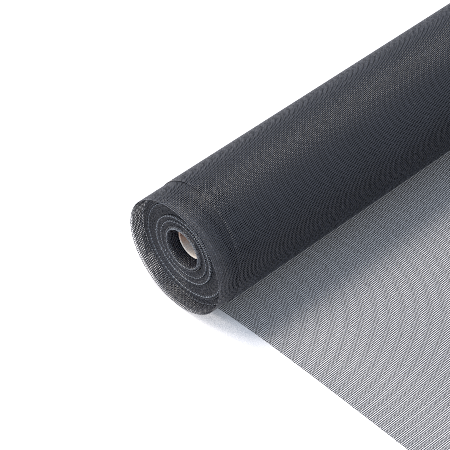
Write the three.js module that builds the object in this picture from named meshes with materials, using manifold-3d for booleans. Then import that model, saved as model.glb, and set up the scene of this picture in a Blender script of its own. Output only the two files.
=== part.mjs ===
// A roll of fiberglass insect screen on its paper tube, lying on a level surface with its
// loose end unrolled in front of it.
//
// Millimetres, +Z up. X runs along the roll, from the end whose turns have slid out (-X)
// to the other end. The loose end lies towards -Y. The origin is the middle of the flat
// spot on which the roll rests.

import * as THREE from 'three';
import { mergeVertices } from 'three/addons/utils/BufferGeometryUtils.js';
import Module from 'manifold-3d';

const wasm = await Module();
wasm.setup();

// The cloth and the wound roll. The roll sags a little under its own weight, so it is
// wider than it is high, and its heart lies a little above and behind the middle.
const CLOTH_WIDTH = 610;
const ROLL_RADIUS = 50;
const SIDE_SPREAD = 0.5;
const TOP_DROP = 0.5;
const ROLL_CENTRE_HEIGHT = 49.3;
const HEART_SHIFT_Y = 1.7;
const HEART_SHIFT_Z = 1.5;

// Where the turns end along the roll, measured from the mean edge of the turn that has
// slid out furthest. Every turn is CLOTH_WIDTH wide, so the far end mirrors these.
const LIP_EDGE = 1;
const LIP_TILT_UP = 2.2;
const LIP_TILT_BACK = -1.6;
const LIP_THICKNESS = 1.1;
const TOP_TURN_EDGE = 21;
const TOP_TURN_THICKNESS = 0.5;
const HEART_EDGE = 7.5;
const BODY_EDGE = 9.5;

// The loose spiral gap between the groups of turns, cut into both ends.
const GAP_WIDTH = 1.4;
const GAP_DEPTH = 9;
const GAP_TURNS = 3.2;
const GAP_OUTER_RADIUS = 44.5;
const GAP_INNER_RADIUS = 20.5;
const GAP_START_TURN = -0.25;
const GAP_STEPS_PER_TURN = 32;
const GAP_TAPER_STEPS = 6;

// The hole through the turns: it fits the tube, and its first turns stand open like a bell.
const HOLE_MOUTH_RADIUS = 17.7;
const BELL_LENGTH = 36;
const SEAT_GAP = 0.3;

// The paper tube. It has slipped in a little at the near end.
const TUBE_RADIUS = 14;
const TUBE_WALL = 1.5;
const TUBE_EDGE = 17;
const TUBE_LENGTH = CLOTH_WIDTH;
const TUBE_SIDES = 48;

// The loose end of the cloth, flat on the surface in front of the roll.
const SHEET_THICKNESS = 1.2;
const SHEET_REACH = 330;
const SHEET_ROOT = 14;
const SHEET_EDGE = 23;
const SHEET_EDGE_PULL = 5.6;
const SHEET_EDGE_FADE = 45;
const SHEET_EDGE_STEPS = 12;

const ROLL_STEPS = 72;
const ROLL_MIDDLE = (CLOTH_WIDTH + TOP_TURN_EDGE) / 2;

// A place along the roll, given from the edge of the furthest turn, as an X of the part.
const along = (edge) => edge - ROLL_MIDDLE;

const screenMaterial = new THREE.MeshStandardMaterial({
  name: 'screen',
  color: 0x34373c,
  roughness: 0.62,
  metalness: 0,
});
const looseMaterial = new THREE.MeshStandardMaterial({
  name: 'screen_single',
  color: 0x4a4d53,
  roughness: 0.62,
  metalness: 0,
});
const paperMaterial = new THREE.MeshStandardMaterial({
  name: 'paper',
  color: 0xc9b094,
  roughness: 0.9,
  metalness: 0,
});

// The middle of the turn with this radius: the outer turns lie evenly, the heart off centre.
function turnCentre(x, radius) {
  const inward = 1 - (radius / ROLL_RADIUS) ** 2;
  const height = ROLL_CENTRE_HEIGHT + HEART_SHIFT_Z * inward;
  return new THREE.Vector3(x, HEART_SHIFT_Y * inward, height);
}

// A point of the turn with this radius at this angle. The angle runs from +Y towards +Z.
// Outer turns sag more than inner ones, and none goes below the surface.
function turnPoint(x, radius, angle) {
  const sag = (radius / ROLL_RADIUS) ** 2;
  const point = turnCentre(x, radius);
  point.y += (radius + SIDE_SPREAD * sag) * Math.cos(angle);
  point.z += (radius - TOP_DROP * sag) * Math.sin(angle);
  point.z = Math.max(0, point.z);
  return point;
}

// The edge of the turn that has slid out: a tilted ring, furthest out at the lower front.
function lipEdge(angle) {
  return LIP_EDGE + LIP_TILT_UP * Math.sin(angle) + LIP_TILT_BACK * Math.cos(angle);
}

// A closed skin from a grid of points that joins up both round the roll and round its
// profile, with its faces pointing out.
function ringSkin(rows) {
  const around = rows.length;
  const across = rows[0].length;
  const positions = rows.flat().flatMap((point) => point.toArray());
  const index = [];
  for (let i = 0; i < around; i += 1) {
    const next = (i + 1) % around;
    for (let j = 0; j < across; j += 1) {
      const beside = (j + 1) % across;
      const a = i * across + j;
      const b = next * across + j;
      const c = next * across + beside;
      const d = i * across + beside;
      index.push(a, b, c, a, c, d);
    }
  }
  const geometry = new THREE.BufferGeometry();
  geometry.setAttribute('position', new THREE.Float32BufferAttribute(positions, 3));
  geometry.setIndex(index);
  return geometry;
}

function toSolid(geometry) {
  const bare = geometry.clone();
  bare.deleteAttribute('normal');
  bare.deleteAttribute('uv');
  const merged = mergeVertices(bare, 1e-4);
  return new wasm.Manifold(new wasm.Mesh({
    numProp: 3,
    vertProperties: new Float32Array(merged.attributes.position.array),
    triVerts: new Uint32Array(merged.index.array),
  }));
}

function fromSolid(solid) {
  const mesh = solid.getMesh();
  const geometry = new THREE.BufferGeometry();
  geometry.setAttribute('position', new THREE.BufferAttribute(mesh.vertProperties, mesh.numProp));
  geometry.setIndex(new THREE.BufferAttribute(mesh.triVerts, 1));
  return geometry;
}

// The profile of the wound roll at one angle: out along the skin, back through the hole.
function rollProfile(angle) {
  const underRadius = ROLL_RADIUS - TOP_TURN_THICKNESS;
  const seatRadius = TUBE_RADIUS + SEAT_GAP;
  const farBody = BODY_EDGE + CLOTH_WIDTH;
  const farHeart = HEART_EDGE + CLOTH_WIDTH;
  const corners = [
    { edge: lipEdge(angle), radius: underRadius },
    { edge: TOP_TURN_EDGE, radius: underRadius },
    { edge: TOP_TURN_EDGE, radius: ROLL_RADIUS },
    { edge: TOP_TURN_EDGE + CLOTH_WIDTH, radius: ROLL_RADIUS },
    { edge: TOP_TURN_EDGE + CLOTH_WIDTH, radius: ROLL_RADIUS - LIP_THICKNESS },
    { edge: farBody, radius: ROLL_RADIUS - LIP_THICKNESS },
    { edge: farHeart, radius: HOLE_MOUTH_RADIUS },
    { edge: farHeart - BELL_LENGTH, radius: seatRadius },
    { edge: HEART_EDGE + BELL_LENGTH, radius: seatRadius },
    { edge: HEART_EDGE, radius: HOLE_MOUTH_RADIUS },
    { edge: BODY_EDGE, radius: underRadius - LIP_THICKNESS },
    { edge: lipEdge(angle), radius: underRadius - LIP_THICKNESS },
  ];
  return corners.map(({ edge, radius }) => turnPoint(along(edge), radius, angle));
}

// One wall of the spiral gap: the radius shrinks evenly as the turn goes on, and the gap
// narrows to nothing at both its ends.
function gapWall(side) {
  const steps = Math.round(GAP_TURNS * GAP_STEPS_PER_TURN);
  const points = [];
  for (let i = 0; i <= steps; i += 1) {
    const share = i / steps;
    const angle = 2 * Math.PI * (GAP_START_TURN + GAP_TURNS * share);
    const taper = Math.min(1, i / GAP_TAPER_STEPS, (steps - i) / GAP_TAPER_STEPS);
    const middle = GAP_OUTER_RADIUS + (GAP_INNER_RADIUS - GAP_OUTER_RADIUS) * share;
    const radius = middle + side * taper * GAP_WIDTH / 2;
    const point = turnPoint(0, radius, angle);
    points.push(new THREE.Vector2(point.y, point.z));
  }
  return points;
}

// The spiral gap as a solid that runs along the roll from one edge place to another.
function gapSolid(fromEdge, toEdge) {
  const outer = gapWall(1);
  const inner = gapWall(-1).slice(1, -1).reverse();
  const outline = new THREE.Shape([...outer, ...inner]);
  const geometry = new THREE.ExtrudeGeometry(outline, {
    depth: toEdge - fromEdge,
    bevelEnabled: false,
  });
  const turned = new THREE.Matrix4().makeBasis(
    new THREE.Vector3(0, 1, 0),
    new THREE.Vector3(0, 0, 1),
    new THREE.Vector3(1, 0, 0),
  );
  geometry.applyMatrix4(turned.setPosition(along(fromEdge), 0, 0));
  return toSolid(geometry);
}

function woundRoll() {
  const rows = [];
  for (let i = 0; i < ROLL_STEPS; i += 1) {
    rows.push(rollProfile(2 * Math.PI * (i / ROLL_STEPS) - Math.PI / 2));
  }
  const clearance = TOP_TURN_EDGE;
  const nearGap = gapSolid(-clearance, BODY_EDGE + GAP_DEPTH);
  const farGap = gapSolid(BODY_EDGE + CLOTH_WIDTH - GAP_DEPTH, CLOTH_WIDTH + 2 * clearance);
  const solid = toSolid(ringSkin(rows)).subtract(nearGap).subtract(farGap);
  return fromSolid(solid);
}

// The tube is a ring profile turned about its own axis and laid along X.
function paperTube() {
  const inner = TUBE_RADIUS - TUBE_WALL;
  const profile = [
    new THREE.Vector2(inner, 0),
    new THREE.Vector2(TUBE_RADIUS, 0),
    new THREE.Vector2(TUBE_RADIUS, TUBE_LENGTH),
    new THREE.Vector2(inner, TUBE_LENGTH),
    new THREE.Vector2(inner, 0),
  ];
  const geometry = new THREE.LatheGeometry(profile, TUBE_SIDES);
  return geometry.rotateZ(-Math.PI / 2);
}

// The near edge of the loose end at a distance in front of the roll's middle. Close to
// the roll the cloth is pulled a little towards the end of the roll.
function sheetEdge(distance) {
  return SHEET_EDGE - SHEET_EDGE_PULL * Math.exp((SHEET_ROOT - distance) / SHEET_EDGE_FADE);
}

function looseEnd() {
  const near = [];
  for (let i = 0; i <= SHEET_EDGE_STEPS; i += 1) {
    const share = (i / SHEET_EDGE_STEPS) ** 2;
    const distance = SHEET_ROOT + (SHEET_REACH - SHEET_ROOT) * share;
    near.push(new THREE.Vector2(along(sheetEdge(distance)), -distance));
  }
  const far = near.map((point) => new THREE.Vector2(point.x + CLOTH_WIDTH, point.y));
  const outline = new THREE.Shape([...near, ...far.reverse()]);
  return new THREE.ExtrudeGeometry(outline, { depth: SHEET_THICKNESS, bevelEnabled: false });
}

function named(name, geometry, material) {
  const mesh = new THREE.Mesh(geometry, material);
  mesh.name = name;
  return mesh;
}

const roll = named('wound_roll', woundRoll(), screenMaterial);

const tube = named('core', paperTube(), paperMaterial);
tube.position.copy(turnCentre(along(TUBE_EDGE), TUBE_RADIUS + SEAT_GAP));

const sheet = named('loose_end', looseEnd(), looseMaterial);

const part = new THREE.Group();
part.add(roll, tube, sheet);

export default part;
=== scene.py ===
"""A roll of charcoal fiberglass insect screen on its paper tube, with a loose end unrolled in front.

Metres, +Z up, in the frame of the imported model: X runs along the roll, from the end whose turns
have slid out (-X) to the other end, and the loose end lies towards -Y. The open turns, the turns
that show at both ends and the loose end are made thread by thread, and a dark wound mass stands
for the many turns beneath them.
"""

import logging
import math
from dataclasses import dataclass
from enum import Enum

import bpy
import numpy as np
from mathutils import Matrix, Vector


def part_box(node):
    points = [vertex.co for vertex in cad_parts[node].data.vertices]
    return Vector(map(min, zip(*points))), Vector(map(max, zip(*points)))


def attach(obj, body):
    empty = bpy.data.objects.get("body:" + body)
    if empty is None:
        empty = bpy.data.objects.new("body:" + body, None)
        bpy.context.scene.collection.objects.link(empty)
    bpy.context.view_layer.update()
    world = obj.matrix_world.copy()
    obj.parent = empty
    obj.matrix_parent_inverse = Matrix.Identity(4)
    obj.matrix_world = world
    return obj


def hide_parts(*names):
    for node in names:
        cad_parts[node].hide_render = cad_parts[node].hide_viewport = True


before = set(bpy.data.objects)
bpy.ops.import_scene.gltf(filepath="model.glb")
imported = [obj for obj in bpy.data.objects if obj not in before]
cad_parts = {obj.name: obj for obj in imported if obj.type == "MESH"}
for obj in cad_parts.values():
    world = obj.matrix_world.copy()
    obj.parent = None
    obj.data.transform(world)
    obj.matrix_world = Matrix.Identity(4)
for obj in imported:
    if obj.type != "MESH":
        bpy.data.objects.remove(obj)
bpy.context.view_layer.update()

MM = 0.001
UP = np.array([0.0, 0.0, 1.0])
Array = np.ndarray
Socket = bpy.types.NodeSocket
Colour = tuple[float, float, float]
log = logging.getLogger("screen_roll")


class RollEnd(Enum):
    """The two ends of the roll, with the way that each one faces along X."""

    NEAR = -1
    FAR = 1


@dataclass(frozen=True)
class Gauge:
    """A plain weave of coated glass yarn, a little over 18 threads to the inch by 16.

    The running threads go round the roll and out along the loose end, and the cross threads go
    from one cut edge of the cloth to the other. The first running thread lies first_row pitches
    behind the cut edge.
    """

    running_pitch: float = 1.375 * MM
    cross_pitch: float = 1.6 * MM
    running_width: float = 0.30 * MM
    cross_width: float = 0.36 * MM
    height: float = 0.26 * MM
    fused: float = 0.14 * MM
    first_row: float = 0.1

    @property
    def step(self) -> float:
        """How far the cross threads lie above the running threads that they are fused to."""
        return self.height - self.fused


@dataclass(frozen=True)
class RingEdge:
    """The cut edge of a whole turn: a ring round the roll that is tilted up and back."""

    middle: float
    tilt_up: float
    tilt_back: float

    def at(self, angle: Array) -> Array:
        """The edge's place along the roll, at angles from +Y towards +Z."""
        return self.middle + self.tilt(angle)

    def tilt(self, angle: Array) -> Array:
        """How far the edge is off its middle: a share of the angle's sine and one of its cosine."""
        return self.tilt_up * np.sin(angle) + self.tilt_back * np.cos(angle)


@dataclass(frozen=True)
class RollShape:
    """The wound form: a slightly sagged round, with its heart a little up and back.

    The sizes are those of the solid that the frame holds, apart from the edges of the two outer
    turns. Those follow the photograph and lie up to 7 mm from the solid's. Places along the roll
    are given from a plane 1.25 mm inside the mean edge of the turn that has slid out furthest.
    """

    radius: float = 50 * MM
    side_spread: float = 0.5 * MM
    top_drop: float = 0.5 * MM
    centre_height: float = 49.3 * MM
    heart_shift_y: float = 1.7 * MM
    heart_shift_z: float = 1.5 * MM
    lip: RingEdge = RingEdge(-1.25 * MM, 0.1 * MM, 0.4 * MM)
    top_turn: RingEdge = RingEdge(22.8 * MM, 3.1 * MM, 4.4 * MM)
    tube_edge: float = 17 * MM
    tube_radius: float = 14 * MM
    mouth_radius: float = 17.7 * MM
    heart_edge: float = 7.5 * MM
    bell_length: float = 36 * MM
    seat_gap: float = 0.3 * MM

    @property
    def cloth_width(self) -> float:
        """The width of the cloth, which is also the length of the tube in the frame."""
        low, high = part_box("core")
        return high[0] - low[0]

    def along(self, edge: Array) -> Array:
        """The X, in the frame, of places given from the plane near the slid turn's edge."""
        low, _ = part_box("core")
        return np.asarray(edge) - self.tube_edge + low[0]

    def behind(self, end: RollEnd, edge: Array, depth: Array) -> Array:
        """The X of places at a depth behind one end of a cloth whose near edge is given."""
        start = edge + self.cloth_width * (end is RollEnd.FAR)
        return self.along(start - end.value * depth)

    def centre(self, radius: Array) -> tuple[Array, Array]:
        """The Y and Z of turns' middles: the heart's shift fades with the radius squared."""
        inward = 1 - (np.asarray(radius) / self.radius) ** 2
        return self.heart_shift_y * inward, self.centre_height + self.heart_shift_z * inward

    def points(self, x: Array, radius: Array, angle: Array, lift: float = 0.0) -> Array:
        """Points of turns: a circle round the turn's middle, wider and lower the further out it is.

        Args:
            x: places along X in the row frame.
            radius: radii of the turns.
            angle: angles from +Y towards +Z.
            lift: the lowest that a point may lie, so that the roll rests on a flat spot.

        Returns:
            The points, with the arguments' common shape and a last axis of three.
        """
        x, radius, angle = np.broadcast_arrays(x, radius, angle)
        sag = (radius / self.radius) ** 2
        mid_y, mid_z = self.centre(radius)
        y = mid_y + (radius + self.side_spread * sag) * np.cos(angle)
        z = mid_z + (radius - self.top_drop * sag) * np.sin(angle)
        return np.stack([x, y, np.maximum(z, lift)], axis=-1)

    def outward(self, angle: Array) -> Array:
        """Directions that point away from the roll's axis at angles from +Y towards +Z."""
        return np.stack([np.zeros_like(angle), np.cos(angle), np.sin(angle)], axis=-1)


GAUGE = Gauge()
SHAPE = RollShape()

# How far the threads' own shades lie apart, and what a cut edge adds to the shade.
SHADE_SPREAD = 0.45
PALE_CUT = 1.4


def unit(vectors: Array) -> Array:
    """Vectors of length one along the last axis."""
    return vectors / np.linalg.norm(vectors, axis=-1, keepdims=True)


def smooth_step(share: Array) -> Array:
    """A smooth rise from 0 to 1: three times the share's square less twice its cube."""
    return share * share * (3 - 2 * share)


@dataclass
class Skin:
    """Points and four-sided faces of a piece that is still being put together."""

    points: Array
    quads: Array
    shade: Array
    corners_uv: Array

    @staticmethod
    def joined(skins: list["Skin"]) -> "Skin":
        """Puts several skins into one, renumbering their faces.

        Args:
            skins: the skins to join.

        Returns:
            One skin that holds them all.
        """
        counts = np.cumsum([0] + [len(skin.points) for skin in skins[:-1]])
        return Skin(
            points=np.concatenate([skin.points for skin in skins]),
            quads=np.concatenate([skin.quads + count for skin, count in zip(skins, counts)]),
            shade=np.concatenate([skin.shade for skin in skins]),
            corners_uv=np.concatenate([skin.corners_uv for skin in skins]),
        )

    def to_object(self, name: str, material: bpy.types.Material) -> bpy.types.Object:
        """Makes the Blender object, at the origin and with smooth faces.

        Args:
            name: the piece's name.
            material: its finish.

        Returns:
            The object, linked into the scene.
        """
        mesh = bpy.data.meshes.new(name)
        mesh.vertices.add(len(self.points))
        mesh.vertices.foreach_set("co", self.points.astype(np.float32).ravel())
        mesh.loops.add(self.quads.size)
        mesh.loops.foreach_set("vertex_index", self.quads.astype(np.int32).ravel())
        mesh.polygons.add(len(self.quads))
        mesh.polygons.foreach_set("loop_start", np.arange(0, self.quads.size, 4, dtype=np.int32))
        mesh.polygons.foreach_set("use_smooth", np.ones(len(self.quads), dtype=bool))
        mesh.update(calc_edges=True)
        shade = mesh.attributes.new("shade", "FLOAT", "POINT")
        shade.data.foreach_set("value", self.shade.astype(np.float32))
        uv_map = mesh.uv_layers.new(name="cloth")
        uv_map.data.foreach_set("uv", self.corners_uv.astype(np.float32).ravel())
        mesh.materials.append(material)
        piece = bpy.data.objects.new(name, mesh)
        bpy.context.scene.collection.objects.link(piece)
        return piece


@dataclass(frozen=True)
class Lay:
    """How a set of threads lies in the weave.

    Attributes:
        width: how wide each thread is.
        closed: whether each thread runs round into itself.
        crossed: how many threads of the other set each thread has crossed, as (threads, places),
            with one more place on a closed thread, where it comes round to its start.
        number: the number of each thread in its own set. Where it and the number of threads
            crossed add up to an even number, the thread lies over, and where odd, under.
    """

    width: float
    closed: bool
    crossed: Array
    number: Array


def threads(centres: Array, outward: Array, shade: Array, lay: Lay) -> Skin:
    """Coated threads of flattened section, each one closed in itself.

    A rectangle of the thread's width and height is carried along every line of centres, with its
    width at a right angle to the line and its height along the outward direction. An open thread
    gets a flat cap at each end, and a closed one joins up with its own start.

    Args:
        centres: the threads' middle lines, as (threads, places, 3).
        outward: the directions in which the threads' height lies, of that shape or one that
            broadcasts to it.
        shade: a number for each thread, or for each of its places: up to 1 for the coat's own
            tones, and above 1 for pale cut yarn.
        lay: how the threads lie in the weave.

    Returns:
        The skin of all the threads.
    """
    count, places, _ = centres.shape
    if lay.closed:
        ahead = np.roll(centres, -1, axis=1) - np.roll(centres, 1, axis=1)
    else:
        ahead = np.gradient(centres, axis=1)
    side = unit(np.cross(unit(ahead), outward)) * lay.width / 2
    up = np.broadcast_to(outward, centres.shape) * GAUGE.height / 2
    corners = np.stack([side + up, up - side, -side - up, side - up], axis=2)
    points = centres[:, :, None, :] + corners
    number = np.arange(count * places * 4).reshape(count, places, 4)
    here = number if lay.closed else number[:, :-1]
    there = np.roll(number, -1, axis=1) if lay.closed else number[:, 1:]
    walls = np.stack([here, there, np.roll(there, -1, axis=2), np.roll(here, -1, axis=2)], axis=-1)
    crossed = np.broadcast_to(lay.crossed, (count, places + int(lay.closed)))
    span = np.stack([crossed[:, :-1], crossed[:, 1:], crossed[:, 1:], crossed[:, :-1]], axis=-1)
    own = np.broadcast_to(lay.number[:, None, None], span.shape)
    span_uv = np.repeat(np.stack([span, own], axis=-1), 4, axis=1)
    faces, uvs = [walls.reshape(-1, 4)], [span_uv.reshape(-1, 4, 2)]
    if not lay.closed:
        caps = np.stack([crossed[:, [0, -1]], np.broadcast_to(lay.number[:, None], (count, 2))], axis=-1)
        faces += [number[:, 0], number[:, -1, ::-1]]
        uvs += [np.repeat(caps[:, :1], 4, axis=1), np.repeat(caps[:, 1:], 4, axis=1)]
    return Skin(
        points=points.reshape(-1, 3),
        quads=np.concatenate(faces),
        shade=np.repeat(np.broadcast_to(shade.reshape(count, -1), (count, places)), 4),
        corners_uv=np.concatenate(uvs),
    )


def grid_skin(points: Array, uv: Array, shade: Array) -> Skin:
    """A skin from a grid of points that joins up in both directions.

    Args:
        points: the grid, as (around, across, 3), with its faces turned outward.
        uv: the surface's own places, one row and one column more than the grid.
        shade: one number for each place across, the same all the way around.

    Returns:
        The closed skin.
    """
    around, across, _ = points.shape
    number = np.arange(around * across).reshape(around, across)
    right = np.roll(number, -1, axis=0)
    above = np.roll(number, -1, axis=1)
    corner = np.roll(right, -1, axis=1)
    quads = np.stack([number, right, corner, above], axis=-1).reshape(-1, 4)
    uv_corners = np.stack([uv[:-1, :-1], uv[1:, :-1], uv[1:, 1:], uv[:-1, 1:]], axis=2)
    return Skin(
        points=points.reshape(-1, 3),
        quads=quads,
        shade=np.tile(shade, around),
        corners_uv=uv_corners.reshape(-1, 4, 2),
    )


class Finish:
    """A node material that is put together step by step."""

    def __init__(self, name: str) -> None:
        """Starts a material with a shader and nothing else."""
        self.material = bpy.data.materials.new(name)
        self.material.use_nodes = True
        self.nodes = self.material.node_tree.nodes
        self.links = self.material.node_tree.links
        self.shader = self.nodes["Principled BSDF"]

    def node(self, kind: str, values: dict | None = None, **settings: object) -> bpy.types.Node:
        """Adds a node.

        Args:
            kind: the node's type without its ShaderNode prefix.
            values: numbers for its inputs, by name or place.
            settings: other settings of the node.

        Returns:
            The new node.
        """
        made = self.nodes.new("ShaderNode" + kind)
        for key, value in settings.items():
            setattr(made, key, value)
        for key, value in (values or {}).items():
            made.inputs[key].default_value = value
        return made

    def link(self, source: Socket, target: Socket) -> None:
        """Carries one socket's value to another."""
        self.links.new(source, target)

    def maths(self, operation: str, first: object, second: object = 0.0) -> Socket:
        """Works out one number from two, each a socket or a plain number.

        Args:
            operation: the Math node's operation.
            first: the first number.
            second: the second number.

        Returns:
            The result's socket.
        """
        made = self.node("Math", operation=operation)
        for place, value in enumerate((first, second)):
            if isinstance(value, Socket):
                self.link(value, made.inputs[place])
            else:
                made.inputs[place].default_value = value
        return made.outputs[0]

    def noise(self, where: Socket, scale: float, detail: float = 3.0) -> Socket:
        """Soft noise.

        Args:
            where: the places' socket.
            scale: how many lumps fit a metre.
            detail: how many finer layers are added.

        Returns:
            The socket of a number from 0 to 1.
        """
        made = self.node("TexNoise", {"Scale": scale, "Detail": detail})
        self.link(where, made.inputs["Vector"])
        return made.outputs["Fac"]

    def paint(self, share: Socket, places: tuple[float, ...], colours: tuple[Colour, ...]) -> None:
        """Gives the shader a colour read from a ramp.

        Args:
            share: the number that runs along the ramp.
            places: where along the ramp its colours lie.
            colours: the colour at each of those places.
        """
        ramp = self.node("ValToRGB")
        while len(ramp.color_ramp.elements) < len(places):
            ramp.color_ramp.elements.new(1.0)
        for element, place, colour in zip(ramp.color_ramp.elements, places, colours):
            element.position = place
            element.color = (*colour, 1.0)
        self.link(share, ramp.inputs["Fac"])
        self.link(ramp.outputs["Color"], self.shader.inputs["Base Color"])

    def bump(self, height: Socket, distance: float, strength: float = 1.0) -> None:
        """Gives the shader a relief.

        Args:
            height: the socket of the height, from 0 to 1.
            distance: the relief's depth in metres.
            strength: how much of the relief shows.
        """
        made = self.node("Bump", {"Distance": distance, "Strength": strength})
        self.link(height, made.inputs["Height"])
        self.link(made.outputs["Normal"], self.shader.inputs["Normal"])

    def settle(self, values: dict[str, object]) -> None:
        """Sets inputs of the shader, given by name."""
        for name, value in values.items():
            self.shader.inputs[name].default_value = value

    def part(self, where: Socket, axis: str) -> Socket:
        """One coordinate of the places given by a socket.

        Args:
            where: the places' socket.
            axis: X, Y or Z.

        Returns:
            The coordinate's socket.
        """
        split = self.node("SeparateXYZ")
        self.link(where, split.inputs["Vector"])
        return split.outputs[axis]

    def where(self) -> Socket:
        """The places of the surface in the piece's own metres."""
        return self.node("TexCoord").outputs["Object"]

    def cloth_uv(self) -> Socket:
        """The surface's own places, as the pieces' UV map gives them."""
        return self.node("UVMap", uv_map="cloth").outputs["UV"]

    def own_shade(self) -> Socket:
        """The shade that the pieces' points carry."""
        return self.node("Attribute", attribute_name="shade").outputs["Fac"]


@dataclass(frozen=True)
class CoatedYarn:
    """Glass yarn in a glossy charcoal vinyl coat, with the bare fibres pale where it is cut.

    A thread that lies over its neighbour stands proud, with a clearer gloss and painted a little
    lighter as painted light, and one that lies under dips, duller and painted darker as painted shade.
    """

    name: str = "coated_yarn"
    dark: Colour = (0.004, 0.004, 0.007)
    light: Colour = (0.026, 0.025, 0.038)
    cut: Colour = (0.30, 0.33, 0.37)
    roughness: float = 0.35
    roughness_swing: float = -0.06
    painted_light_swing: float = 0.15
    wave_height: float = 0.14 * MM
    specular: float = 1.0
    ramp: tuple[float, ...] = (0.05, 0.45, 0.8)
    own_share: float = 0.3
    patch_scale: float = 35.0
    patch_share: float = 0.2
    wave_share: float = 0.5

    def wave(self, finish: Finish) -> Socket:
        """The weave's wave: the cosine of half a turn for each crossing, 1 over and -1 under.

        Args:
            finish: the material that it is for.

        Returns:
            The wave's socket.
        """
        uv = finish.cloth_uv()
        beat = finish.maths("ADD", finish.part(uv, "X"), finish.part(uv, "Y"))
        return finish.maths("COSINE", finish.maths("MULTIPLY", beat, math.pi))

    def build(self) -> bpy.types.Material:
        """Mixes the tones by the thread's own shade, by slow noise and by the weave's wave, which paints
        light where a thread lies over and shade where it lies under.

        Returns:
            The material.
        """
        finish = Finish(self.name)
        patches = finish.maths("MULTIPLY", finish.noise(finish.where(), self.patch_scale), self.patch_share)
        share = finish.maths("ADD", finish.maths("MULTIPLY", finish.own_shade(), self.own_share), patches)
        over = self.wave(finish)
        # Painted light and shade: the colour is lighter where the thread lies over and darker where it lies
        # under.
        share = finish.maths("ADD", share, finish.maths("MULTIPLY", over, self.painted_light_swing))
        finish.paint(share, self.ramp, (self.dark, self.light, self.cut))
        dull = finish.maths("MULTIPLY", over, self.roughness_swing)
        finish.link(finish.maths("ADD", dull, self.roughness), finish.shader.inputs["Roughness"])
        finish.settle({"Specular IOR Level": self.specular})
        finish.bump(finish.maths("MULTIPLY", over, self.wave_share), self.wave_height)
        return finish.material


@dataclass(frozen=True)
class WoundDepth:
    """The turns beneath the open ones: the gaps between their threads painted nearly black as painted
    shade, mottled by threads too deep to tell apart.
    """

    name: str = "wound_depth"
    painted_shade_gap: Colour = (0.003, 0.003, 0.004)
    thread: Colour = (0.014, 0.014, 0.021)
    roughness: float = 0.7
    grain: float = 900.0
    patch_scale: float = 60.0
    ramp: tuple[float, ...] = (0.0, 0.5)
    relief: float = 0.25 * MM
    relief_strength: float = 0.5

    def build(self) -> bpy.types.Material:
        """Mottles the two tones by noise about as fine as the threads, and roughens them.

        Returns:
            The material.
        """
        finish = Finish(self.name)
        mottle = finish.noise(finish.where(), self.grain)
        share = finish.maths("MULTIPLY", mottle, finish.noise(finish.where(), self.patch_scale))
        # Painted shade: the gaps between the deep threads are painted nearly black.
        finish.paint(share, self.ramp, (self.painted_shade_gap, self.thread))
        finish.settle({"Roughness": self.roughness})
        finish.bump(mottle, self.relief, self.relief_strength)
        return finish.material


@dataclass(frozen=True)
class Paperboard:
    """Raw spiral-wound paperboard, brown with paler fibres, a ply seam and a pale cut end."""

    name: str = "paperboard"
    brown: Colour = (0.25, 0.12, 0.09)
    pale: Colour = (0.70, 0.50, 0.38)
    cut: Colour = (0.94, 0.84, 0.74)
    ramp: tuple[float, ...] = (0.10, 0.6, 0.9)
    fibre_stretch: tuple[float, ...] = (0.25, 1.0, 1.0)
    fibre_scale: float = 600.0
    fibre_detail: float = 6.0
    fibre_share: float = 0.6
    blotch_scale: float = 70.0
    blotch_detail: float = 2.0
    blotch_share: float = 0.35
    base_share: float = 0.1
    seam_pitch: float = 58.0
    seam_width: float = 0.012
    seam_shade: float = 0.35
    tone_share: float = 0.7
    end_share: float = 0.3
    painted_light_height: float = 46.5 * MM
    painted_light_rate: float = 80.0
    painted_shade_least: float = -0.25
    roughness: float = 0.85
    specular: float = 0.25
    relief: float = 0.08 * MM
    relief_strength: float = 0.6

    def build(self) -> bpy.types.Material:
        """Mixes two papers by fibre noise, darkens a narrow helical seam and pales the cut ends.

        The tube's lower side is painted paler than its upper side, as painted light and shade.

        Returns:
            The material.
        """
        finish = Finish(self.name)
        stretched = finish.node("Mapping", {"Scale": self.fibre_stretch})
        finish.link(finish.where(), stretched.inputs["Vector"])
        fibres = finish.noise(stretched.outputs["Vector"], self.fibre_scale, self.fibre_detail)
        blotches = finish.noise(finish.where(), self.blotch_scale, self.blotch_detail)
        share = finish.maths("ADD", finish.maths("MULTIPLY", fibres, self.fibre_share), self.base_share)
        mixed = finish.maths("ADD", share, finish.maths("MULTIPLY", blotches, self.blotch_share))
        run = finish.maths("DIVIDE", finish.part(finish.cloth_uv(), "X"), self.seam_pitch)
        turns = finish.maths("ADD", run, finish.part(finish.cloth_uv(), "Y"))
        seam = finish.maths("LESS_THAN", finish.maths("FRACT", turns), self.seam_width)
        toned = finish.maths("SUBTRACT", mixed, finish.maths("MULTIPLY", seam, self.seam_shade))
        cut = finish.maths("MULTIPLY", finish.own_shade(), self.end_share)
        paled = finish.maths("ADD", finish.maths("MULTIPLY", toned, self.tone_share), cut)
        # Painted light and shade: the paper is paler below a height and darker above it, down to a least,
        # for the light that falls on the tube's lower inside.
        below = finish.maths("SUBTRACT", self.painted_light_height, finish.part(finish.where(), "Z"))
        worn = finish.maths("MAXIMUM", finish.maths("MULTIPLY", below, self.painted_light_rate), self.painted_shade_least)
        paled = finish.maths("ADD", paled, worn)
        finish.paint(paled, self.ramp, (self.brown, self.pale, self.cut))
        finish.settle({"Roughness": self.roughness, "Specular IOR Level": self.specular})
        finish.bump(finish.maths("SUBTRACT", fibres, seam), self.relief, self.relief_strength)
        return finish.material


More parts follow.
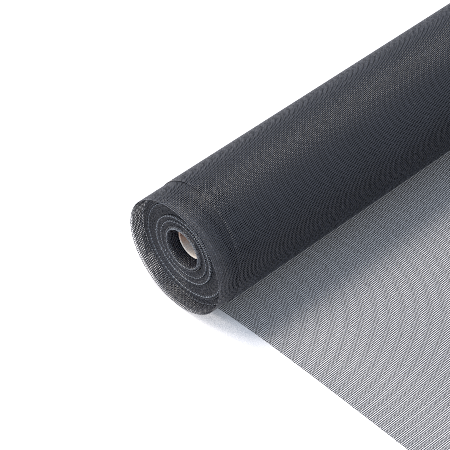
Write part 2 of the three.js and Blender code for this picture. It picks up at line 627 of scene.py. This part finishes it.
@dataclass(frozen=True)
class StudioFloor:
    """A plain, nearly white floor, lit a little from beneath like a light table."""

    name: str = "studio_floor"
    colour: Colour = (0.63, 0.62, 0.64)
    glow: float = 0.12
    roughness: float = 0.9

    def build(self) -> bpy.types.Material:
        """A plain matte white with a weak glow.

        Returns:
            The material.
        """
        finish = Finish(self.name)
        finish.settle({"Base Color": (*self.colour, 1.0), "Roughness": self.roughness})
        finish.settle({"Specular IOR Level": 0.0, "Emission Strength": self.glow})
        finish.settle({"Emission Color": (1.0, 1.0, 1.0, 1.0)})
        return finish.material


def dress(piece: bpy.types.Object, node: str) -> None:
    """Ties a piece to the frame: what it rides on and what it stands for.

    Args:
        piece: the finished piece.
        node: the solid of the frame that it replaces.
    """
    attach(piece, "root")
    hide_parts(node)
    triangles = sum(len(face.vertices) - 2 for face in piece.data.polygons)
    log.info("%s: %d triangles, for %s", piece.name, triangles, node)


class RollPiece:
    """A piece of the roll: the solid that it replaces, its material slot and its skins."""

    name: str
    node = "wound_roll"
    slot = "screen"

    def skins(self) -> list[Skin]:
        """The skins that the piece is made of."""
        raise NotImplementedError

    def build(self, material: bpy.types.Material) -> bpy.types.Object:
        """Joins the skins into one object and ties it to the frame.

        Args:
            material: the piece's finish.

        Returns:
            The piece.
        """
        piece = Skin.joined(self.skins()).to_object(self.name, material)
        dress(piece, self.node)
        return piece


def thread_shades(count: int, seed: int) -> Array:
    """One shade for each thread, even random numbers round a half, from a fixed seed."""
    return 0.5 + SHADE_SPREAD * (np.random.default_rng(seed).random(count) - 0.5)


@dataclass(frozen=True)
class OpenTurn(RollPiece):
    """One turn of open mesh round the roll, made of hoops and of threads along the roll.

    Attributes:
        depth: how far its hoops' middles lie within the roll's radius.
        phase: how far round its threads begin, as a share of a thread's pitch.
        drift: how far its hoops wander along the roll.
        reach: how far in from each of its cut edges the turn is made. Further in it would lie
            out of sight under the top turn.
    """

    name: str
    depth: float
    edge: RingEdge
    phase: float
    drift: float
    seed: int
    reach: float
    steps: int = 48
    hem: float = 0.14 * MM
    whisker: float = 0.25 * MM
    pale_edge: float = 0.5
    drift_waves: float = 2.3
    drift_rounds: int = 2
    drift_twist: float = 5.0
    floor_gap: float = 0.01 * MM
    stray_angle: float = 0.0006
    stave_places: tuple[float, ...] = (0, 0.01, 0.25, 0.5, 0.75, 0.99, 1)

    @property
    def hoops(self) -> int:
        """How many hoops fit the cloth's width."""
        return 1 + round((SHAPE.cloth_width - 2 * self.hem) / GAUGE.running_pitch)

    @property
    def staves(self) -> int:
        """How many threads lie round the turn: an even number, so that the weave meets itself."""
        return 2 * round(np.pi * (SHAPE.radius - self.depth) / GAUGE.cross_pitch)

    def hoop_skin(self) -> Skin:
        """The hoops: rings of the turn's radius, evenly spaced and with a slow sideways drift.

        The drift is a sine along the roll times a sine round it, and the second one's start moves
        on along the roll.

        Returns:
            The hoops' skin.
        """
        angle = np.linspace(0, 2 * np.pi, self.steps + 1) - np.pi / 2
        number = np.arange(self.hoops)
        number = number[np.minimum(number, number[::-1]) * GAUGE.running_pitch < self.reach]
        share = (number / (self.hoops - 1))[:, None]
        place = self.hem + share * (SHAPE.cloth_width - 2 * self.hem)
        around = angle[:-1]
        swell = np.sin(2 * np.pi * (self.drift_waves * share + self.phase))
        swing = np.sin(around * self.drift_rounds + self.drift_twist * share)
        along = SHAPE.along(self.edge.at(around) + place + self.drift * swell * swing)
        lowest = GAUGE.height / 2 + self.floor_gap
        centres = SHAPE.points(along, SHAPE.radius - self.depth, around[None, :], lowest)
        shades = thread_shades(len(number), self.seed)
        shades[[0, -1]] += self.pale_edge
        crossed = angle[None, :] * self.staves / (2 * np.pi) - self.phase
        lay = Lay(GAUGE.running_width, True, crossed, number)
        return threads(centres, SHAPE.outward(around), shades, lay)

    def stave_skin(self, start: float, stop: float) -> Skin:
        """The cross threads between two places of the turn, with whiskers at its cut edges.

        Args:
            start: where they start, from the turn's near edge.
            stop: where they stop.

        Returns:
            The threads' skin.
        """
        random = np.random.default_rng(self.seed + 1)
        number = np.arange(self.staves)
        angle = 2 * np.pi * (number + self.phase) / self.staves
        whisker = np.abs(random.normal(self.whisker, self.whisker / 2, (2, self.staves, 1)))
        first = start - whisker[0] * (start == 0)
        last = stop + whisker[1] * (stop == SHAPE.cloth_width)
        place = first + np.array(self.stave_places)[None, :] * (last - first)
        around = angle[:, None] + random.normal(0, self.stray_angle, (self.staves, 1))
        centres = SHAPE.points(
            SHAPE.along(self.edge.at(angle)[:, None] + place),
            SHAPE.radius - self.depth - GAUGE.step,
            around,
            GAUGE.height / 2 + GAUGE.step,
        )
        own = thread_shades(self.staves, self.seed + 2)[:, None]
        shades = own + self.pale_edge * ((place < 0) | (place > SHAPE.cloth_width))
        lay = Lay(GAUGE.cross_width, False, (place - self.hem) / GAUGE.running_pitch, number + 1)
        return threads(centres, SHAPE.outward(around), shades, lay)

    def skins(self) -> list[Skin]:
        """The hoops and the cross threads, as far in from each end as the turn is made.

        Returns:
            The skins.
        """
        middle = min(self.reach, SHAPE.cloth_width / 2)
        spans = [(0, middle), (SHAPE.cloth_width - middle, SHAPE.cloth_width)]
        return [self.hoop_skin()] + [self.stave_skin(*span) for span in spans]


@dataclass(frozen=True)
class TurnGroup:
    """A group of tight turns. Its first turn stands proud of the rest, with its cut edge showing.

    Radii and edge places run evenly from the group's outermost turn to its innermost. They and
    the slump are in millimetres.

    Attributes:
        first_edge: where the first turn's edge lies. The other two edges are those of the turns
            behind it, from the outermost to the innermost.
        pale: how clearly the first turn's cut edge shows, as a share of PALE_CUT.
        slump: how far the group hangs below its round, where the turns above it are slack.
    """

    outer: float
    inner: float
    turns: float
    first_edge: float
    outer_edge: float
    inner_edge: float
    pale: float = 0.0
    slump: float = 0.0


TURN_GROUPS = [
    TurnGroup(48.6, 48.4, 1, 0.9, 1.6, 2.4),
    TurnGroup(46.9, 43.0, 8, 9.4, 9.8, 10.6, 0.5, 0.9),
    TurnGroup(42.5, 41.0, 3, 9.6, 9.8, 10.2, 0.3, 0.9),
    TurnGroup(40.5, 30.1, 17, 9.6, 10.0, 10.6, 0.9, 1.1),
    TurnGroup(29.6, 25.2, 8, 8.4, 9.2, 10.0, 0.9, 1.1),
    TurnGroup(24.8, 19.8, 9, 8.4, 9.2, 10.0, 0.7, 0.7),
    TurnGroup(19.3, 18.9, 1, 7.9, 8.6, 8.8, 0.3),
]


@dataclass(frozen=True)
class SpiralPlaces:
    """Places of the spiral that the cloth's edge makes at one end of the roll."""

    radius: Array
    edge: Array
    angle: Array
    pale: Array
    slump: Array


@dataclass(frozen=True)
class EndTurns(RollPiece):
    """The turns that show at one end of the roll: the cloth's edge, spiralling inward.

    Attributes:
        gap_turn: how far round it is from one group of turns to the next.
        proud: how far round a group's first turn stands proud.
        dropped: how far round the cloth has dropped back to the group's other turns.
    """

    name: str
    end: RollEnd
    rows: int = 7
    steps: int = 36
    gap_turn: float = 0.3
    whisker: float = 0.3 * MM
    ruffle: float = 0.15 * MM
    ruffles_per_turn: int = 3
    proud: float = 0.9
    dropped: float = 1.15
    fine_steps: int = 4000
    seed: int = 11

    def stations(self) -> Array:
        """The turn numbers where radius, edge, paleness or slump bends, with those four there.

        A group has four: its start, the end of its proud first turn, the place where the next
        turn has dropped back, and its end. Between groups everything runs on evenly. In a group
        of one turn the third lies past the fourth, out of order. So the outermost turn's edge
        jumps at the third, and the innermost turn is a little off in its last tenth.

        Returns:
            Rows of turn number, radius, edge place, paleness and slump, outermost first.
        """
        turn, rows = 0.0, []
        for group in TURN_GROUPS:
            thinning = (group.outer - group.inner) / group.turns
            for step, edge, pale in (
                (0.0, group.first_edge, PALE_CUT * group.pale),
                (self.proud, group.first_edge, PALE_CUT * group.pale),
                (self.dropped, group.outer_edge, 0.0),
                (group.turns, group.inner_edge, 0.0),
            ):
                rows.append((turn + step, group.outer - thinning * step, edge, pale, group.slump))
            turn += group.turns + self.gap_turn
        return np.array(rows) * (1, MM, MM, 1, MM)

    def place(self, turn: Array) -> SpiralPlaces:
        """The spiral's places, read between its stations.

        The edge also waves a little from turn to turn.

        Args:
            turn: turn numbers, counted from the outermost.

        Returns:
            The places of those turn numbers.
        """
        turns, radii, edges, pales, slumps = self.stations().T
        count = self.ruffles_per_turn * int(turns[-1] + 2)
        waves = np.random.default_rng(self.seed).normal(0, self.ruffle, count)
        ruffles = np.interp(turn * self.ruffles_per_turn, np.arange(count), waves)
        return SpiralPlaces(
            radius=np.interp(turn, turns, radii),
            edge=np.interp(turn, turns, edges) + ruffles,
            angle=2 * np.pi * turn - np.pi / 2,
            pale=np.interp(turn, turns, pales),
            slump=np.interp(turn, turns, slumps),
        )

    def points(self, x: Array, radius: Array, spiral: SpiralPlaces) -> Array:
        """Points of the spiral at radii a thread from its own or less, let down by its slump."""
        return SHAPE.points(x, radius, spiral.angle) - spiral.slump[:, None] * UP

    def running_skin(self) -> Skin:
        """The threads that follow the spiral, one row behind another.

        Returns:
            The threads' skin.
        """
        last = self.stations()[-1, 0]
        spiral = self.place(np.linspace(0, last, round(last * self.steps)))
        row = np.arange(self.rows)
        depth = (row[:, None] + GAUGE.first_row) * GAUGE.running_pitch
        place = SHAPE.behind(self.end, spiral.edge, depth)
        centres = self.points(place, spiral.radius, spiral)
        shades = thread_shades(self.rows, self.seed + 2)[:, None] + spiral.pale * (row[:, None] == 0)
        length = np.cumsum(spiral.radius * np.gradient(spiral.angle))
        lay = Lay(GAUGE.running_width, False, length[None, :] / GAUGE.cross_pitch, row)
        return threads(centres, SHAPE.outward(spiral.angle), shades, lay)

    def cross_skin(self) -> Skin:
        """The short ends of the threads along the roll, one for each pitch of the spiral.

        Returns:
            The threads' skin.
        """
        fine = np.linspace(0, self.stations()[-1, 0], self.fine_steps)
        radius = self.place(fine).radius
        length = np.concatenate([[0], np.cumsum(radius[1:] * 2 * np.pi * np.diff(fine))])
        marks = np.arange(0, length[-1], GAUGE.cross_pitch)
        spiral = self.place(np.interp(marks, length, fine))
        random = np.random.default_rng(self.seed + 3)
        tip = np.abs(random.normal(self.whisker, self.whisker / 2, len(marks)))
        depths = (-tip, self.rows * GAUGE.running_pitch)
        places = [SHAPE.behind(self.end, spiral.edge, depth) for depth in depths]
        ends = [self.points(x, spiral.radius + GAUGE.step, spiral) for x in places]
        centres = np.stack(ends, axis=1)
        own = thread_shades(len(marks), self.seed + 4)[:, None]
        shades = own + np.stack([spiral.pale, np.zeros_like(spiral.pale)], axis=1)
        crossed = np.array([[-GAUGE.first_row, self.rows - GAUGE.first_row]])
        lay = Lay(GAUGE.cross_width, False, crossed, np.arange(len(marks)) + 1)
        return threads(centres, SHAPE.outward(spiral.angle)[:, None], shades, lay)

    def skins(self) -> list[Skin]:
        """The running threads and the cut ends of the cross threads."""
        return [self.running_skin(), self.cross_skin()]


@dataclass(frozen=True)
class BellTurn(RollPiece):
    """The innermost turns, which stand open at the mouth and narrow onto the tube.

    Each layer lies a little further out, further in along the roll and further round than the one
    within it. All are paler than the outer turns by the shade called inside.
    """

    name: str
    end: RollEnd
    layers: int = 3
    layer_pitch: float = 0.45 * MM
    layer_back: float = 0.4 * MM
    layer_turn: float = 0.03
    steps: int = 40
    whisker: float = 0.3 * MM
    pale_edge: float = 1.2
    inside: float = 0.35
    mouth_gap: float = 0.4 * MM
    stave_steps: int = 9
    seed: int = 31

    def radius(self, share: Array) -> Array:
        """The bell's radius: wide at the mouth, and down to the tube by a smooth step.

        Args:
            share: how far down the bell, from 0 at the mouth to 1 on the tube.

        Returns:
            The innermost layer's radii there.
        """
        seat = SHAPE.tube_radius + SHAPE.seat_gap + GAUGE.height
        mouth = SHAPE.mouth_radius - self.mouth_gap
        return mouth + (seat - mouth) * smooth_step(share)

    def skins(self) -> list[Skin]:
        """Every layer's skin."""
        return [self.layer_skin(number) for number in range(self.layers)]

    def layer_skin(self, number: int) -> Skin:
        """One layer: hoops down the bell and staves along it.

        Args:
            number: 0 for the innermost layer, and on outward.

        Returns:
            The layer's skin.
        """
        out, back = number * self.layer_pitch, number * self.layer_back
        rows = int(SHAPE.bell_length / GAUGE.running_pitch)
        count = 2 * round(np.pi * (SHAPE.mouth_radius + out) / GAUGE.cross_pitch)
        turn = np.linspace(0, 1, self.steps + 1)
        angle = 2 * np.pi * turn[:-1]
        depth = (np.arange(rows)[:, None] + GAUGE.first_row) * GAUGE.running_pitch
        radius = self.radius(depth / SHAPE.bell_length) + out
        hoops = SHAPE.points(SHAPE.behind(self.end, SHAPE.heart_edge, depth + back), radius, angle)
        shades = thread_shades(rows, self.seed + number) + self.inside
        shades[0] += self.pale_edge
        lay = Lay(GAUGE.running_width, True, turn[None, :] * count, np.arange(rows))
        rings = threads(hoops, SHAPE.outward(angle), shades, lay)
        around = np.linspace(0, 2 * np.pi, count, endpoint=False)[:, None] + self.layer_turn * number
        along = np.linspace(0, SHAPE.bell_length, self.stave_steps)[None, :]
        radius = self.radius(along / SHAPE.bell_length) - GAUGE.step + out
        depth = along + back - self.whisker * (along == 0)
        lines = SHAPE.points(SHAPE.behind(self.end, SHAPE.heart_edge, depth), radius, around)
        shades = thread_shades(count, self.seed + 10 + number) + self.inside
        lay = Lay(GAUGE.cross_width, False, along / GAUGE.running_pitch, np.arange(count) + 1)
        return Skin.joined([rings, threads(lines, SHAPE.outward(around), shades, lay)])


@dataclass(frozen=True)
class WoundMass(RollPiece):
    """The tight turns beneath the open ones: a dark tube-shaped body with its bell at both ends."""

    name: str = "wound_mass"
    depth: float = 1.2 * MM
    end_depth: float = 19 * MM
    around: int = 144
    along: int = 40
    bell_steps: int = 8
    face_steps: int = 12
    lowest: float = 1.0 * MM
    shade: float = 0.5

    def profile(self) -> tuple[Array, Array]:
        """The body's profile: along the skin, down the far end, back through the hole and up.

        Returns:
            Places along the roll and radii, in order, with corners kept sharp by close points.
        """
        near = self.end_depth
        far = 2 * SHAPE.heart_edge + SHAPE.cloth_width - near
        outer = SHAPE.radius - self.depth
        seat = SHAPE.tube_radius + SHAPE.seat_gap + 2 * GAUGE.height
        mouth = SHAPE.mouth_radius + GAUGE.height
        rise = np.linspace((near - SHAPE.heart_edge) / SHAPE.bell_length, 1, self.bell_steps)
        bell = mouth + (seat - mouth) * smooth_step(rise)
        bell_depth = (rise - rise[0]) * SHAPE.bell_length
        skin = np.linspace(near, far, self.along)
        hole = np.linspace(far - bell_depth[-1], near + bell_depth[-1], self.along)[1:-1]
        face = np.linspace(outer, bell[0], self.face_steps)[1:-1]
        places = [skin, np.full(len(face), far), far - bell_depth, hole]
        places += [near + bell_depth[::-1], np.full(len(face), near)]
        radii = [np.full(self.along, outer), face, bell, np.full(len(hole), seat)]
        radii += [bell[::-1], face[::-1]]
        return np.concatenate(places), np.concatenate(radii)

    def skins(self) -> list[Skin]:
        """The profile, carried round the roll.

        Returns:
            The body's one skin.
        """
        places, radii = self.profile()
        angle = np.linspace(0, 2 * np.pi, self.around, endpoint=False)[:, None] - np.pi / 2
        points = SHAPE.points(SHAPE.along(places)[None, :], radii[None, :], angle, self.lowest)
        rim = np.append(places, places[0]) + np.append(radii, radii[0])
        reach = np.append(radii, radii[0])
        turn = np.linspace(0, 2 * np.pi, self.around + 1)[:, None]
        run, cross = rim[None, :] / GAUGE.running_pitch, turn * reach / GAUGE.cross_pitch
        uv = np.stack(np.broadcast_arrays(run, cross), axis=-1)
        return [grid_skin(points, uv, np.full(len(places), self.shade))]


@dataclass(frozen=True)
class LooseEnd(RollPiece):
    """The end of the cloth, lying open and flat on the floor in front of the roll.

    Attributes:
        root: how far in front of the roll's middle the cloth begins.
        first: how far the first running thread lies inside the edge, in pitches.
        crowding: the power by which a running thread's points crowd towards the roll.
        least_bow: the share of the cross threads' bow that is left next to the roll.
    """

    node = "loose_end"
    slot = "screen_single"
    name: str = "loose_end_mesh"
    root: float = 4 * MM
    edge_reach: float = 23 * MM
    edge_pull: float = 5.6 * MM
    edge_fade: float = 45 * MM
    pull_root: float = 14 * MM
    clear: float = 0.03 * MM
    first: float = 0.15
    stray: float = 0.03 * MM
    ragged: float = 0.5 * MM
    whisker: float = 0.25 * MM
    running_steps: int = 14
    crowding: float = 1.6
    cross_steps: int = 9
    bow: float = 0.8 * MM
    least_bow: float = 0.2
    seed: int = 51

    @property
    def reach(self) -> float:
        """How far in front of the roll's middle the cloth was cut off."""
        low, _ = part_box("loose_end")
        return -low[1]

    def edge(self, distance: Array) -> Array:
        """The near edge: straight far out, less a pull that fades as a power of e with distance."""
        return self.edge_reach - self.edge_pull * np.exp((self.pull_root - distance) / self.edge_fade)

    def running_skin(self) -> Skin:
        """The threads that run out from the roll, side by side and following the edge.

        Returns:
            The threads' skin.
        """
        random = np.random.default_rng(self.seed)
        number = np.arange(round(SHAPE.cloth_width / GAUGE.running_pitch))
        offset = (number + self.first) * GAUGE.running_pitch + random.normal(0, self.stray, len(number))
        share = np.linspace(0, 1, self.running_steps) ** self.crowding
        tip = self.reach - np.abs(random.normal(0, self.ragged, len(number)))
        distance = self.root + (tip[:, None] - self.root) * share[None, :]
        x = SHAPE.along(self.edge(distance) + offset[:, None])
        height = self.clear + GAUGE.height / 2
        centres = np.stack([x, -distance, np.full_like(x, height)], axis=-1)
        crossed = (distance - self.root) / GAUGE.cross_pitch - 0.5
        lay = Lay(GAUGE.running_width, False, crossed, number)
        return threads(centres, UP, thread_shades(len(number), self.seed + 1), lay)

    def cross_skin(self) -> Skin:
        """The threads across the cloth, with a slight bow from one edge to the other.

        Returns:
            The threads' skin.
        """
        number = np.arange(int((self.reach - self.root) / GAUGE.cross_pitch))
        random = np.random.default_rng(self.seed + 2)
        stray = random.normal(0, self.stray, len(number))
        distance = self.root + (number + 0.5) * GAUGE.cross_pitch + stray
        share = np.linspace(0, 1, self.cross_steps)[None, :]
        whisker = np.abs(random.normal(0, self.whisker, (2, len(number), 1)))
        place = -whisker[0] + share * (SHAPE.cloth_width + whisker[0] + whisker[1])
        x = SHAPE.along(self.edge(distance)[:, None] + place)
        bow = self.bow * np.sin(np.pi * share) * np.linspace(self.least_bow, 1, len(number))[:, None]
        height = self.clear + GAUGE.height / 2 + GAUGE.step
        centres = np.stack([x, -distance[:, None] + bow, np.full_like(x, height)], axis=-1)
        lay = Lay(GAUGE.cross_width, False, place / GAUGE.running_pitch - self.first, number + 1)
        return threads(centres, UP, thread_shades(len(number), self.seed + 3), lay)

    def skins(self) -> list[Skin]:
        """The running threads and the cross threads."""
        return [self.running_skin(), self.cross_skin()]

    def build(self, material: bpy.types.Material) -> bpy.types.Object:
        """Args:
            material: the piece's finish.

        Returns:
            The piece.
        """
        piece = super().build(material)
        return piece


@dataclass(frozen=True)
class PaperTube(RollPiece):
    """The paper tube in the heart of the roll, with softly worn cut ends.

    The corners are worn round, and a cut end's pale shade fades into the brown next to it.
    """

    node = "core"
    slot = "paper"
    name: str = "paper_tube"
    wall: float = 1.5 * MM
    worn: float = 0.35 * MM
    fade: float = 0.5 * MM
    around: int = 120
    along: int = 60
    corner_steps: int = 5

    def skins(self) -> list[Skin]:
        """A ring profile with quarter-round corners, carried round the tube's axis.

        Returns:
            The tube's one skin.
        """
        low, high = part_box("core")
        middle = (np.array(low) + np.array(high)) / 2
        outer, inner = SHAPE.tube_radius, SHAPE.tube_radius - self.wall
        quarter = np.linspace(0, np.pi / 2, self.corner_steps)
        inset, drop = self.worn * (1 - np.sin(quarter)), self.worn * (1 - np.cos(quarter))
        skin = np.linspace(low[0] + self.worn, high[0] - self.worn, self.along)
        skin = np.insert(skin, [1, self.along - 1], [skin[0] + self.fade, skin[-1] - self.fade])[1:-1]
        corner, flat = np.ones(len(quarter)), np.zeros(len(skin))
        near, far = low[0] + inset, high[0] - inset
        places = np.concatenate([skin, far, far[::-1], skin[::-1], near, near[::-1]])
        radii = np.concatenate([
            flat + outer, outer - drop, inner + drop[::-1], flat + inner, inner + drop, outer - drop[::-1]
        ])
        shade = np.concatenate([flat, corner, corner, flat, corner, corner])
        angle = np.linspace(0, 2 * np.pi, self.around, endpoint=False)[:, None]
        x, y, z = np.broadcast_arrays(places, radii * np.cos(angle), radii * np.sin(angle))
        points = np.stack([x, middle[1] + y, middle[2] + z], axis=-1)
        run = np.append(places, places[0]) / MM
        turn = np.linspace(0, 1, self.around + 1)[:, None]
        uv = np.stack(np.broadcast_arrays(run, turn), axis=-1)
        return [grid_skin(points, uv, shade)]


@dataclass(frozen=True)
class Studio:
    """A pale floor under soft light, seen by a long lens from above the roll's near end."""

    floor_size: float = 30.0
    camera_back: float = -762.6 * MM
    camera_side: float = -866.0 * MM
    camera_height: float = 1219.1 * MM
    camera_turn: float = 46.80
    camera_dip: float = 44.58
    lens: float = 175.97
    sensor: float = 36.0
    sight: float = 100.0
    sky: float = 0.88
    sky_tint: Colour = (0.84, 0.98, 1.16)
    key_way: tuple[float, ...] = (-0.30, 0.42, 0.86)
    key_tint: Colour = (1.0, 0.93, 0.84)
    key_distance: float = 3.0
    key_power: float = 115.0
    key_size: float = 1.1
    pixel_filter: float = 0.85

    def floor(self) -> None:
        """A large square of floor at the height on which the roll rests."""
        half = self.floor_size / 2
        corners = [(-half, -half, 0), (half, -half, 0), (half, half, 0), (-half, half, 0)]
        mesh = bpy.data.meshes.new("floor")
        mesh.from_pydata(corners, [], [(0, 1, 2, 3)])
        mesh.materials.append(StudioFloor().build())
        floor = bpy.data.objects.new("floor", mesh)
        bpy.context.scene.collection.objects.link(floor)

    def camera(self) -> None:
        """The camera, at the place worked out from the roll's rim and the mesh in the photograph."""
        data = bpy.data.cameras.new("camera")
        data.sensor_width = self.sensor
        data.lens = self.lens
        data.clip_end = self.sight
        camera = bpy.data.objects.new("camera", data)
        camera.location = (SHAPE.along(self.camera_back), self.camera_side, self.camera_height)
        turns = (90 - self.camera_dip, 0, self.camera_turn - 90)
        camera.rotation_euler = [math.radians(turn) for turn in turns]
        bpy.context.scene.collection.objects.link(camera)
        bpy.context.scene.camera = camera

    def key_light(self) -> None:
        """A square soft light above the roll's near end, a little behind it."""
        data = bpy.data.lights.new("key_light", "AREA")
        data.size = self.key_size
        data.energy = self.key_power
        data.color = self.key_tint
        lamp = bpy.data.objects.new("key_light", data)
        way = np.array(self.key_way) / np.linalg.norm(self.key_way)
        lamp.location = np.array([SHAPE.along(0.0), 0.0, SHAPE.centre_height]) + way * self.key_distance
        lamp.rotation_euler = (math.acos(way[2]), 0, math.atan2(way[1], way[0]) + math.pi / 2)
        bpy.context.scene.collection.objects.link(lamp)

    def sky_light(self) -> None:
        """An even, very slightly blue sky."""
        world = bpy.data.worlds.new("sky")
        bpy.context.scene.world = world
        world.use_nodes = True
        background = world.node_tree.nodes["Background"]
        background.inputs["Color"].default_value = (*self.sky_tint, 1)
        background.inputs["Strength"].default_value = self.sky

    def build(self) -> None:
        """Sets up the floor, the light, the camera and how the picture is developed.

        The threads are about a pixel apart, so the pixel filter is narrow and the denoiser off:
        either would blur the weave away.
        """
        self.floor()
        self.sky_light()
        self.key_light()
        self.camera()
        bpy.context.scene.view_settings.view_transform = "Standard"
        bpy.context.scene.cycles.filter_width = self.pixel_filter
        bpy.context.scene.cycles.use_denoising = False


OPEN_TURNS = [
    OpenTurn("top_turn", 0.15 * MM, SHAPE.top_turn, 0.1, 0.12 * MM, 71, 310 * MM, pale_edge=0.15),
    OpenTurn("slid_turn", 0.75 * MM, SHAPE.lip, 0.6, 0.15 * MM, 81, 40 * MM, pale_edge=0.5),
]


def main() -> None:
    """Builds the studio and every piece of the roll."""
    logging.basicConfig(level=logging.INFO, format="%(message)s")
    Studio().build()
    yarn = CoatedYarn().build()
    for turn in OPEN_TURNS:
        turn.build(yarn)
    EndTurns(name="near_end_turns", end=RollEnd.NEAR).build(yarn)
    EndTurns(name="far_end_turns", end=RollEnd.FAR, seed=23).build(yarn)
    BellTurn(name="near_bell", end=RollEnd.NEAR).build(yarn)
    BellTurn(name="far_bell", end=RollEnd.FAR, seed=37).build(yarn)
    WoundMass().build(WoundDepth().build())
    LooseEnd().build(yarn)
    PaperTube().build(Paperboard().build())


if __name__ == "__main__":
    main()
